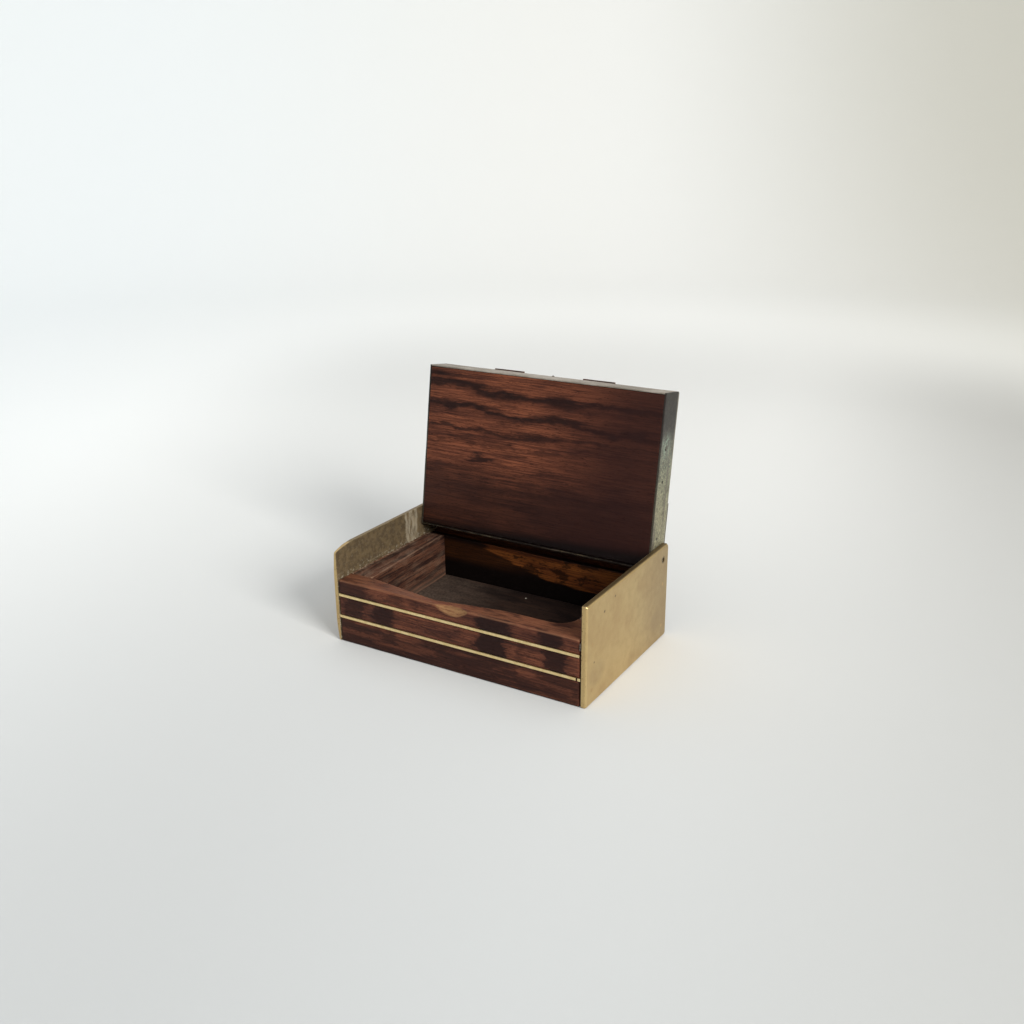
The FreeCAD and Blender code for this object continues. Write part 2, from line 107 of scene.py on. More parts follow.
class Graph:
    """A material's nodes, joined by short calls that each return an output socket."""

    def __init__(self, slot):
        self.material = bpy.data.materials.new(slot + "_look")
        self.material["slot"] = slot
        self.material.use_nodes = True
        self.tree = self.material.node_tree
        self.tree.nodes.clear()

    def node(self, kind, inputs=None, **settings):
        made = self.tree.nodes.new("ShaderNode" + kind)
        for key, value in settings.items():
            setattr(made, key, value)
        for key, value in (inputs or {}).items():
            if isinstance(value, bpy.types.NodeSocket):
                self.tree.links.new(value, made.inputs[key])
            else:
                made.inputs[key].default_value = value
        return made

    def math(self, operation, a, b=0.0, c=0.0):
        return self.node("Math", {0: a, 1: b, 2: c}, operation=operation).outputs[0]

    def add(self, a, b):
        return self.math("ADD", a, b)

    def times(self, a, b):
        return self.math("MULTIPLY", a, b)

    def most(self, a, b):
        return self.math("MAXIMUM", a, b)

    def invert(self, a):
        return self.math("SUBTRACT", 1.0, a)

    def level(self, value, low, high):
        """A smooth step from 0 at low to 1 at high."""
        inputs = {"Value": value, "From Min": low, "From Max": high}
        return self.node("MapRange", inputs, interpolation_type="SMOOTHSTEP").outputs[0]

    def place(self):
        """Place in the frame, in millimetres."""
        inputs = {"Vector": self.node("TexCoord").outputs["Object"], "Scale": (1 / MM,) * 3}
        return self.node("Mapping", inputs).outputs[0]

    def place_on_lid(self):
        """Place in the lid's own axes, in millimetres."""
        inputs = {
            "Vector": self.node("TexCoord").outputs["Object"],
            "Scale": (1 / MM,) * 3,
            "Rotation": (LEAN, 0, 0),
            "Location": (0, -LID_LOW[1] / MM, -LID_LOW[2] / MM),
        }
        return self.node("Mapping", inputs).outputs[0]

    def stretch(self, vector, scale, shift=(0, 0, 0), turn=(0, 0, 0)):
        inputs = {"Vector": vector, "Scale": scale, "Location": shift, "Rotation": turn}
        return self.node("Mapping", inputs).outputs[0]

    def split(self, vector):
        return self.node("SeparateXYZ", {0: vector}).outputs[:]

    def noise(self, vector, scale=1.0, detail=4.0, rough=0.55, twist=0.0):
        inputs = {
            "Vector": vector, "Scale": scale, "Detail": detail, "Roughness": rough,
            "Distortion": twist,
        }
        return self.node("TexNoise", inputs).outputs[0]

    def mix(self, factor, a, b):
        return self.node("Mix", {0: factor, 6: a, 7: b}, data_type="RGBA").outputs[2]

    def ramp(self, factor, *stops):
        made = self.node("ValToRGB", {0: factor})
        line = made.color_ramp.elements
        while len(line) < len(stops):
            line.new(0.5)
        for element, (position, colour) in zip(line, stops):
            element.position = position
            element.color = rgb(colour)
        return made.outputs[0]

    def curve(self, value, points, low, high):
        """A smooth curve through a few (place, height) points, all within low to high."""
        share = self.math("DIVIDE", self.math("SUBTRACT", value, low), high - low)
        made = self.node("FloatCurve", {"Value": share})
        line = made.mapping.curves[0]
        while len(line.points) < len(points):
            line.points.new(0.5, 0.5)
        for point, (at, height) in zip(line.points, points):
            point.location = ((at - low) / (high - low), (height - low) / (high - low))
        made.mapping.update()
        return self.math("MULTIPLY_ADD", made.outputs[0], high - low, low)

    def band(self, distance, wide):
        """1 on a line, falling to 0 at a distance of wide."""
        return self.invert(self.level(self.math("ABSOLUTE", distance), 0.0, wide))

    def spot(self, vector, centre, radius, soft=0.5):
        """1 inside a ball, falling to 0 over the outer share soft of its radius."""
        away = self.node("VectorMath", {0: vector, 1: centre}, operation="DISTANCE").outputs["Value"]
        return self.invert(self.level(away, radius * (1 - soft), radius))

    def oval(self, x, y, at, size, soft=0.6):
        """1 inside an ellipse in two of the axes, falling to 0 over its outer share soft."""
        across = self.math("POWER", self.math("DIVIDE", self.math("SUBTRACT", x, at[0]), size[0]), 2)
        along = self.math("POWER", self.math("DIVIDE", self.math("SUBTRACT", y, at[1]), size[1]), 2)
        return self.invert(self.level(self.math("SQRT", self.add(across, along)), 1 - soft, 1.0))

    def between(self, value, low, high, soft):
        """1 from low to high, with edges soft wide."""
        rise = self.level(value, low - soft / 2, low + soft / 2)
        return self.times(rise, self.level(value, high + soft / 2, high - soft / 2))

    def mark(self, name):
        return self.node("Attribute", attribute_name=name).outputs["Fac"]

    def bump(self, height, distance, strength=1.0):
        """A bump whose height is given in units of distance, in millimetres."""
        inputs = {"Height": height, "Distance": distance * MM, "Strength": strength}
        return self.node("Bump", inputs).outputs[0]

    def finish(self, colour, rough, normal=None, **others):
        """The surface, with any other inputs of the shader by name."""
        shader = self.node("BsdfPrincipled", {"Base Color": colour, "Roughness": rough})
        if normal is not None:
            self.tree.links.new(normal, shader.inputs["Normal"])
        for key, value in others.items():
            socket = shader.inputs[key.replace("_", " ")]
            if isinstance(value, bpy.types.NodeSocket):
                self.tree.links.new(value, socket)
            else:
                socket.default_value = value
        output = self.node("OutputMaterial")
        self.tree.links.new(shader.outputs[0], output.inputs[0])
        return self.material


# ------------------------------------------------------------------------------ rosewood

GRAIN_ACROSS = (0, 0, math.radians(-90))            # turns the grain from left-right to front-back


def rosewood(name, on_lid, figure, tones, cover=None, turn=(0, 0, 0), seed=0.0, gloss=0.42):
    """Oiled rosewood, in its light, middle, heartwood and rubbed tones.

    figure gives the heartwood, and on the lid and the back board painted shade too, from 0 to 1. cover
    lays dust, bare wood, other tones and some painted light and shade over the colour, and returns the
    new colour with how dry it is.
    """
    g = Graph(name)
    here = g.place_on_lid() if on_lid else g.place()
    wood = g.stretch(here, (1, 1, 1), (seed * 37, seed * 11, seed * 23), turn)
    fibre = g.noise(g.stretch(wood, (0.06, 2.1, 2.1)), detail=5, rough=0.7)
    streak = g.noise(g.stretch(wood, (0.014, 0.3, 0.3)), detail=5, rough=0.62, twist=0.6)
    cloud = g.noise(g.stretch(wood, (0.035, 0.09, 0.09)), detail=3)
    pore = g.level(g.noise(g.stretch(wood, (0.42, 4.6, 4.6)), detail=1, rough=0.4), 0.63, 0.7)
    light, middle, dark, rubbed = (rgb(tone) for tone in tones)
    tone = g.add(g.times(streak, 0.6), g.times(cloud, 0.4))
    tone = g.level(g.add(tone, g.times(g.math("SUBTRACT", fibre, 0.5), 0.5)), 0.34, 0.64)
    colour = g.mix(tone, middle, light)
    heart = figure(g, here, g.math("SUBTRACT", streak, 0.5), g.math("SUBTRACT", fibre, 0.5))
    colour = g.mix(heart, colour, dark)
    colour = g.mix(g.times(g.level(fibre, 0.6, 0.38), 0.4), colour, dark)
    colour = g.mix(g.times(pore, 0.7), colour, rgb("#120807"))
    worn = g.level(g.noise(g.stretch(wood, (0.1, 0.7, 0.7)), detail=4, rough=0.65), 0.3, 0.56)
    dry = g.times(worn, g.level(g.mark("wear"), 0.16, 0.6))
    colour = g.mix(g.times(dry, 0.7), colour, rubbed)
    if cover:
        colour, dusty = cover(g, here, fibre, colour)
        dry = g.most(dry, dusty)
    # Near-black in the hollows, where the crevice mark is high.
    blackened = g.level(g.mark("crevice"), 0.1, 0.5)
    colour = g.mix(g.times(blackened, 0.7), colour, rgb("#0d0706"))
    rough = g.add(gloss, g.add(g.times(fibre, 0.12), g.times(g.most(pore, dry), 0.3)))
    height = g.add(g.times(fibre, 0.6), g.times(g.invert(pore), 0.5))
    height = g.add(height, g.times(streak, 0.4))
    return g.finish(colour, rough, g.bump(height, 0.06), Specular_IOR_Level=0.12)


# Bands on the lid's inner face: points (x, distance from the rear edge), half width and depth.
LID_BANDS = (
    (((-70, 72.5), (-59, 71.4), (-4, 65.5), (20, 66), (56, 68), (70, 69)), 4.4, 0.95),
    (((-70, 61), (-59, 60.3), (-44, 59.6), (-20, 57.5), (38, 57), (70, 55)), 3.6, 0.95),
    (((-70, 50.5), (-59, 50), (-22, 48.6), (10, 50.5), (30, 51.6), (70, 52)), 2.6, 0.85),
    (((-70, 42), (-40, 43.5), (-15, 42.9), (10, 44.5), (35, 46), (70, 46)), 1.6, 0.55),
    (((-70, 30), (-59, 29), (-20, 31), (30, 34), (60, 35), (70, 35)), 1.9, 0.6),
)


def lid_figure(g, here, streak, fibre):
    """Wavy bands across the upper half of the lid's inner face, plain dark wood below, and painted shade
    towards the lower right.
    """
    x, _, along = g.split(here)
    drift = g.noise(g.stretch(here, (0.045, 0.12, 0.12), (9, 2, 4)), detail=4, rough=0.62)
    drift = g.math("SUBTRACT", drift, 0.5)
    wave = g.add(g.add(g.times(streak, 8.0), g.times(drift, 13.0)), g.times(fibre, 2.6))
    swell = g.noise(g.stretch(here, (0.05, 0.15, 0.15), (3, 8, 1)), detail=3)
    swell = g.level(swell, 0.3, 0.68)
    heart = g.times(g.oval(x, g.add(along, wave), (-29, 36), (13, 2.4)), 0.9)
    heart = g.most(heart, g.times(g.oval(x, g.add(along, wave), (-47, 58.5), (7, 3.6)), 0.95))
    for points, wide, deep in LID_BANDS:
        away = g.math("SUBTRACT", g.add(along, wave), g.curve(x, points, -80, 80))
        width = g.add(wide * 0.45, g.times(swell, wide * 0.9))
        heart = g.most(heart, g.times(g.band(away, width), deep))
    ripple = g.noise(g.stretch(here, (0.03, 0.5, 0.5), (6, 6, 2)), detail=5, rough=0.7)
    heart = g.most(heart, g.times(g.level(ripple, 0.52, 0.66), 0.55))
    low = g.times(g.level(g.add(along, g.times(wave, 1.4)), 38.0, 22.0), 0.78)
    # Painted shade, deepening towards the lower right of the lid's inner face.
    right = g.add(g.add(x, g.times(along, -0.3)), g.times(wave, 3.0))
    right = g.times(g.level(right, -18.0, 38.0), 0.5)
    check = g.noise(g.stretch(here, (0.035, 1.3, 1.3), (4, 1, 4), (0, 0.03, 0)), detail=3, rough=0.6)
    check = g.times(g.level(check, 0.6, 0.66), g.level(along, 46.0, 30.0))
    foot = g.level(g.add(along, g.times(x, -0.08)), 12.0, 1.0)
    return g.most(g.most(heart, g.most(low, check)), g.most(right, foot))


def lid_cover(g, here, fibre, colour):
    """Painted shade that makes the right-hand side darker and redder, and nearly black along the rear
    edge.
    """
    x, _, along = g.split(here)
    # Painted shade over the right-hand side, in a dark red-brown.
    right = g.level(g.add(g.add(x, g.times(along, -0.3)), g.times(fibre, 8.0)), -24.0, 34.0)
    colour = g.mix(g.times(right, 0.74), colour, rgb("#220e0c"))
    depth = g.add(g.add(along, g.times(x, -0.03)), g.times(fibre, 2.0))
    # Nearly black within the last few millimetres of the rear edge.
    blackened = g.times(g.level(depth, 8.0, 3.0), 0.85)
    return g.mix(blackened, colour, rgb("#070404")), 0.0


# Left edge, right edge and depth of the blotches of heartwood on the front board, first below the
# upper brass line and then above it, in millimetres from the box's middle. The shift makes up for the
# slant of their edges.
BLOTCH_SHIFT = 2.5
FRONT_BLOTCHES = (
    ((-57, -45, 0.8), (-40.5, -30, 0.85), (12.5, 26.5, 0.95), (31, 34, 0.5), (43.5, 54.5, 0.9)),
    ((-66, -45, 0.75), (-30, -26, 0.3), (11.5, 29, 0.95), (39.5, 50.5, 0.9)),
)


def front_figure(g, here, streak, fibre):
    """Blotches of heartwood above the lower brass line, and streaked dark wood under it."""
    x, _, z = g.split(here)
    ragged = g.noise(g.stretch(here, (0.12, 0.3, 0.3), (3, 0, 7)), detail=5, rough=0.7)
    ragged = g.math("SUBTRACT", ragged, 0.5)
    place = g.add(g.add(x, g.times(z, -0.12)), g.add(g.times(ragged, 16.0), g.times(fibre, 5.0)))
    place = g.add(place, BLOTCH_SHIFT)
    rows = []
    for row in FRONT_BLOTCHES:
        heart = 0.0
        for left, right, deep in row:
            heart = g.most(heart, g.times(g.between(place, left, right, 3.4), deep))
        rows.append(heart)
    above = g.level(z, LINES[1] - 0.4, LINES[1] + 0.4)
    heart = g.add(g.times(rows[1], above), g.times(rows[0], g.invert(above)))
    patch = g.level(g.add(ragged, g.times(streak, 0.6)), 0.02, 0.14)
    heart = g.most(heart, g.times(patch, 0.55))
    foot = g.level(g.add(z, g.times(streak, 6.0)), LINES[0] - 0.2, LINES[0] - 1.2)
    strip = g.add(z, g.times(streak, 7.0))
    red = g.most(g.oval(place, strip, (-22, 10.2), (9, 2.0)), g.oval(place, strip, (37, 9.6), (7, 2.6)))
    red = g.most(red, g.times(g.level(g.add(streak, g.times(ragged, 0.6)), 0.03, 0.12), 0.5))
    foot = g.times(foot, g.invert(g.times(red, 0.85)))
    return g.most(g.times(heart, g.level(z, LINES[0] - 1.2, LINES[0])), g.times(foot, 0.78))


# The thumb-nail notch is a bite of a ball out of the front board's top edge: the ball's centre, ahead
# of the front face and above the rim, and its radius.
NOTCH_X, NOTCH_AHEAD, NOTCH_ABOVE, NOTCH_BALL = -0.5, 14.0, 7.95, 18.3


def front_cover(g, here, fibre, colour):
    """Orange-brown rubbed wood and painted highlight on the rim, grey dust in the scoop and bare wood in
    the notch.
    """
    x, y, z = g.split(here)
    grain = g.level(g.noise(g.stretch(here, (0.12, 1.3, 1.3)), detail=5, rough=0.7), 0.34, 0.6)
    # The rim's top face: rubbed wood and a painted highlight in one orange-brown tone.
    top = g.level(z, RIM - 0.45, RIM - 0.1)
    heart = g.level(g.noise(g.stretch(here, (0.07, 0.2, 0.2), (2, 2, 2)), detail=3), 0.5, 0.62)
    rim = g.times(g.times(top, g.invert(g.times(heart, 0.7))), g.add(0.2, g.times(grain, 0.6)))
    colour = g.mix(rim, colour, rgb("#704732"))
    inner = g.times(g.level(y, FACE + 1.6, FACE + 3.2), g.level(z, RIM - 0.25, RIM - 1.1))
    inner = g.times(inner, g.level(x, 30.0, 12.0))
    dust = g.times(inner, g.add(0.45, g.times(grain, 0.4)))
    colour = g.mix(dust, colour, rgb("#574639"))
    centre = (NOTCH_X, FACE - NOTCH_AHEAD, RIM + NOTCH_ABOVE)
    chip = g.times(g.spot(here, centre, NOTCH_BALL + 0.25, 0.02), g.level(x, 10.6, 7.4))
    chip = g.times(chip, g.level(y, FACE + 4.0, FACE + 3.0))
    colour = g.mix(g.times(chip, g.add(0.3, g.times(grain, 0.7))), colour, rgb("#8a6846"))
    return colour, g.most(dust, chip)


def end_figure(g, here, streak, fibre):
    """Narrow stripes from front to back."""
    stripe = g.noise(g.stretch(here, (0.5, 0.02, 0.62), (5, 0, 1)), detail=4, rough=0.7)
    return g.times(g.level(stripe, 0.47, 0.56), 0.85)


def end_cover(g, here, fibre, colour):
    """Dust in drifts on top and on the wall, and old polish dried along the plate."""
    x, y, z = g.split(here)
    top = g.level(z, RIM - 0.6, RIM - 0.1)
    drift = g.level(g.noise(g.stretch(here, (0.3, 0.1, 0.3)), detail=6, rough=0.72), 0.44, 0.64)
    fine = g.level(g.noise(here, 1.5, detail=4, rough=0.75), 0.4, 0.66)
    dust = g.times(g.times(drift, g.add(0.3, g.times(fine, 0.7))), g.add(0.4, g.times(top, 0.25)))
    low = g.times(g.level(g.add(z, g.times(y, 0.1)), FLOOR_TOP + 8.0, FLOOR_TOP), 0.5)
    dust = g.most(dust, g.times(low, g.add(0.5, g.times(fine, 0.5))))
    colour = g.mix(dust, colour, rgb("#735f50"))
    broken = g.level(g.noise(here, 0.8, detail=5, rough=0.75), 0.47, 0.6)
    crust = g.times(g.times(g.band(g.add(x, PLATE_IN - 0.6), 2.0), broken), g.times(top, 0.8))
    colour = g.mix(crust, colour, rgb("#a8977f"))
    return colour, g.most(dust, crust)


def back_figure(g, here, streak, fibre):
    """Dark wood with an orange figure that runs down to the right, on the tray's side of the board,
    with a painted shadow of the open lid along its top, and streaks of heartwood on its outer side."""
    x, y, z = g.split(here)
    edge = g.curve(x, ((-60, 32), (-36, 29), (-20, 24), (-1, 18.5), (16, 16.5), (60, 15.5)), -60, 60)
    inside = g.level(g.math("SUBTRACT", g.add(z, g.times(streak, 8.0)), edge), -0.8, 0.8)
    # Painted shadow of the open lid: the orange figure gives way to near-black over the top millimetres
    # below the rim.
    inside = g.times(inside, g.level(g.add(z, g.times(streak, 2.0)), RIM - 0.9, RIM - 1.7))
    holes = g.noise(g.stretch(here, (0.1, 0.2, 0.2), (1, 4, 2)), detail=5, rough=0.65)
    holes = g.level(holes, 0.53, 0.6)
    plain = g.times(g.between(z, 18.0, RIM - 2.0, 6.0), g.level(x, 4.0, -20.0))
    inner = g.invert(g.most(g.times(inside, g.invert(g.times(holes, 0.75))), g.times(plain, 0.2)))
    cloud = g.noise(g.stretch(here, (0.03, 0.16, 0.16), (8, 3, 5)), detail=4, rough=0.6)
    outer = g.times(g.level(g.add(cloud, g.times(streak, 0.8)), 0.46, 0.6), 0.8)
    behind = g.level(y, BACK_IN + 2.0, BACK_IN + 3.5)
    return g.add(g.times(inner, g.invert(behind)), g.times(outer, behind))


def back_cover(g, here, fibre, colour):
    """The outer side has the front board's brown."""
    behind = g.level(g.split(here)[1], BACK_IN + 2.0, BACK_IN + 3.5)
    return g.mix(g.times(behind, 0.55), colour, rgb("#43261c")), 0.0


def floor_figure(g, here, streak, fibre):
    """Clouds of darker wood."""
    cloud = g.noise(g.stretch(here, (0.04, 0.2, 0.2), (2, 3, 1)), detail=4, rough=0.6)
    return g.times(g.level(cloud, 0.42, 0.6), 0.7)


def floor_cover(g, here, fibre, colour):
    """Grey dust, thickest in the front left corner, and a white crumb."""
    x, y, _ = g.split(here)
    drift = g.noise(g.stretch(here, (0.07, 0.2, 0.2), (4, 4, 4)), detail=6, rough=0.7)
    drift = g.times(g.math("SUBTRACT", drift, 0.5), 60.0)
    left = g.level(g.add(g.add(x, g.times(y, 0.5)), drift), 8.0, -62.0)
    speck = g.level(g.noise(here, 0.9, detail=5, rough=0.75), 0.38, 0.62)
    dust = g.times(left, g.add(0.3, g.times(speck, 0.6)))
    colour = g.mix(dust, colour, rgb("#5f5045"))
    crumb = g.spot(here, (-2.5, 26.0, FLOOR_TOP), 0.45, 0.3)
    return g.mix(crumb, colour, rgb("#cfc8b8")), g.most(dust, crumb)


def make_woods():
    """A rosewood for each board, from its light, middle, heartwood and rubbed tones."""
    face = ("#78442e", "#46251a", "#190a08", "#6a4331")
    front = ("#6a3d2b", "#3c2019", "#1e0d0b", "#7d5740")
    ends = ("#614030", "#40261d", "#1b0f0d", "#7d604c")
    back = ("#74421d", "#452111", "#080403", "#5a3c2a")
    floor = ("#33241c", "#221713", "#0f0908", "#4c3c32")
    return {
        "lid": rosewood("rosewood_lid", True, lid_figure, face, lid_cover, seed=1.0),
        "front": rosewood("rosewood_front", False, front_figure, front, front_cover, seed=2.0),
        "ends": rosewood("rosewood_ends", False, end_figure, ends, end_cover, GRAIN_ACROSS, 3.0, 0.55),
        "back": rosewood("rosewood_back", False, back_figure, back, back_cover, seed=4.0),
        "floor": rosewood("rosewood_floor", False, floor_figure, floor, floor_cover, seed=5.0, gloss=0.6),
    }


# ------------------------------------------------------------------------------ metals

def brass_plate():
    """Satin brass, brushed upright, with brown tarnish, dark pits, a ring of painted shade round the sunk
    hinge pin and a bright worn front bevel. The inner faces are dull and olive, with old polish dried
    along the wood."""
    g = Graph("brass_plate")
    here = g.place()
    x, y, z = g.split(here)
    back = g.math("SUBTRACT", y, FACE)
    side = g.math("ABSOLUTE", x)
    brush = g.noise(g.stretch(here, (0.5, 4.0, 0.12)), detail=4, rough=0.7)
    cloud = g.noise(g.stretch(here, (0.05, 0.05, 0.05)), detail=5, rough=0.6)
    mottle = g.noise(g.stretch(here, (0.3, 0.3, 0.3)), detail=5, rough=0.65)
    colour = g.mix(g.level(cloud, 0.35, 0.65), rgb("#b79b6c"), rgb("#c3aa79"))
    colour = g.mix(g.times(g.level(mottle, 0.45, 0.7), 0.2), colour, rgb("#a78b60"))
    colour = g.mix(g.times(g.level(brush, 0.35, 0.7), 0.14), colour, rgb("#d8bd88"))
    tarnish = g.times(g.level(g.add(back, g.times(mottle, 24.0)), 42.0, 92.0), 0.5)
    patch = g.times(g.oval(back, z, (67, 11), (11, 9)), 0.5)
    foot = g.times(g.oval(back, z, (9, 12), (9, 7)), 0.22)
    colour = g.mix(g.most(g.most(tarnish, patch), foot), colour, rgb("#927f62"))
    # A ring of painted shade round the sunk hinge pin, then the dark pits.
    pits_and_pin_shade = g.oval(back, z, (PIN_BACK, PIN_UP), (1.9, 1.9), 0.35)
    for at, high, size in ((15.0, 36.4, 0.85), (24.5, 39.4, 0.7), (6.6, 17.8, 0.6)):
        pits_and_pin_shade = g.most(pits_and_pin_shade, g.oval(back, z, (at, high), (size * 1.2, size), 0.7))
    colour = g.mix(g.times(pits_and_pin_shade, 0.7), colour, rgb("#54452b"))
    top = g.level(z, PLATE_TOP - 0.3, PLATE_TOP - 0.12)
    colour = g.mix(g.times(top, 0.75), colour, rgb("#5f5036"))
    specks = g.level(g.noise(here, 1.1, detail=4, rough=0.7), 0.58, 0.66)
    front = g.level(back, 0.6, 0.1)
    colour = g.mix(g.times(g.times(front, specks), 0.7), colour, rgb("#6b4f30"))
    inner = g.level(side, PLATE_IN + 0.35, PLATE_IN + 0.1)
    olive = g.mix(g.level(mottle, 0.4, 0.62), rgb("#645540"), rgb("#7b694d"))
    crust = g.level(g.noise(g.stretch(here, (1, 0.55, 0.9)), detail=6, rough=0.78), 0.52, 0.64)
    near_wood = g.invert(g.level(g.add(z, g.times(mottle, 3.0)), RIM + 1.4, RIM + 5.0))
    wipe = g.noise(g.stretch(here, (1, 0.6, 0.12), (2, 2, 2)), detail=5, rough=0.7)
    smear = g.times(g.between(g.add(back, g.times(mottle, 5.0)), 53.5, 63.0, 2.0), 0.7)
    smear = g.times(smear, g.level(wipe, 0.36, 0.6))
    pale = g.most(g.times(crust, g.add(g.times(near_wood, 0.95), 0.18)), smear)
    olive = g.mix(pale, olive, rgb("#a69c87"))
    dark = g.noise(g.stretch(here, (0.2, 0.2, 0.2), (5, 5, 5)), detail=5, rough=0.7)
    olive = g.mix(g.times(g.level(dark, 0.54, 0.66), 0.45), olive, rgb("#5a4a34"))
    colour = g.mix(inner, colour, olive)
    rim = g.most(g.level(back, 1.4, 0.4), g.level(z, PLATE_TOP - 1.0, PLATE_TOP - 0.3))
    rim = g.most(rim, g.level(back, DEPTH - 1.0, DEPTH - 0.3))
    outer = g.level(side, PLATE_IN + 1.4, PLATE_IN + 2.0)
    worn = g.times(g.times(g.level(g.mark("wear"), 0.08, 0.35), rim), outer)
    colour = g.mix(g.times(worn, 0.85), colour, rgb("#f0d9a6"))
    rough = g.add(g.add(0.36, g.times(mottle, 0.14)), g.times(inner, 0.22))
    height = g.add(g.times(brush, 0.5), g.times(g.invert(g.most(pits_and_pin_shade, g.times(pale, 0.3))), 1.2))
    metal = g.math("SUBTRACT", 0.95, g.times(inner, g.add(0.3, g.times(pale, 0.6))))
    return g.finish(colour, rough, g.bump(height, 0.03), Metallic=metal, Specular_IOR_Level=0.4)


def thin_brass(name, tones, gloss=0.32):
    """Small brass parts: strips and pin ends."""
    g = Graph(name)
    here = g.place()
    mottle = g.noise(here, 0.55, detail=5, rough=0.65)
    scratch = g.noise(g.stretch(here, (0.2, 3.0, 3.0)), detail=3, rough=0.6)
    colour = g.mix(g.level(mottle, 0.38, 0.62), rgb(tones[0]), rgb(tones[1]))
    colour = g.mix(g.times(g.level(scratch, 0.55, 0.7), 0.4), colour, rgb(tones[2]))
    rough = g.add(gloss, g.times(mottle, 0.15))
    return g.finish(colour, rough, g.bump(g.add(scratch, mottle), 0.02), Metallic=1.0)


def lid_sheet(name, tones):
    """Tarnished sheet over the lid: clouded from the first of its tones to the last, rubbed brighter
    in the middle of the outer face, grey on the front fold and dark along its cut edges."""
    g = Graph(name)
    here = g.place_on_lid()
    x, thick, along = g.split(here)
    mottle = g.noise(here, 0.35, detail=6, rough=0.7)
    fine = g.noise(here, 1.6, detail=4, rough=0.65)
    scratch = g.noise(g.stretch(here, (0.08, 3.0, 3.0), turn=(0, 0.4, 0)), detail=3, rough=0.6)
    cloud = g.noise(here, 0.045, detail=4, rough=0.55)
    tone = g.add(g.times(cloud, 0.65), g.times(mottle, 0.35))
    colour = g.ramp(tone, *zip((0.36, 0.47, 0.54, 0.64), tones))
    middle = g.oval(x, along, (0, LID_LONG * 0.62), (46, 34), 0.8)
    rubbed = g.times(middle, g.level(tone, 0.4, 0.6))
    colour = g.mix(g.times(rubbed, 0.4), colour, rgb("#a08a60"))
    front = g.level(along, LID_LONG - 1.4, LID_LONG - 0.5)
    grey = g.mix(g.level(cloud, 0.4, 0.6), rgb("#8b8379"), rgb("#a79e95"))
    grey = g.mix(g.times(g.level(mottle, 0.5, 0.64), 0.4), grey, rgb("#756a58"))
    grey = g.mix(g.times(g.level(scratch, 0.56, 0.7), 0.4), grey, rgb("#bcb2a2"))
    colour = g.mix(g.times(front, 0.9), colour, grey)
    cut = g.level(thick, 0.75, 0.45)
    broken = g.level(g.noise(g.stretch(here, (0.12, 1, 1)), detail=5, rough=0.8), 0.5, 0.58)
    cut = g.times(cut, g.times(g.invert(g.times(broken, 0.6)), g.level(along, 70.0, 60.0)))
    colour = g.mix(cut, colour, rgb("#1f1814"))
    fold = g.level(thick, LID_THICK - 3.0, LID_THICK - 1.0)
    worn = g.times(g.level(g.mark("wear"), 0.1, 0.4), g.times(fold, g.level(fine, 0.4, 0.6)))
    colour = g.mix(g.times(worn, 0.45), colour, rgb("#a69e8a"))
    rough = g.add(g.add(0.38, g.times(mottle, 0.3)), g.times(front, 0.15))
    height = g.add(g.times(mottle, 1.0), g.add(g.times(fine, 0.4), g.times(scratch, 0.3)))
    return g.finish(colour, rough, g.bump(height, 0.05), Metallic=0.75)


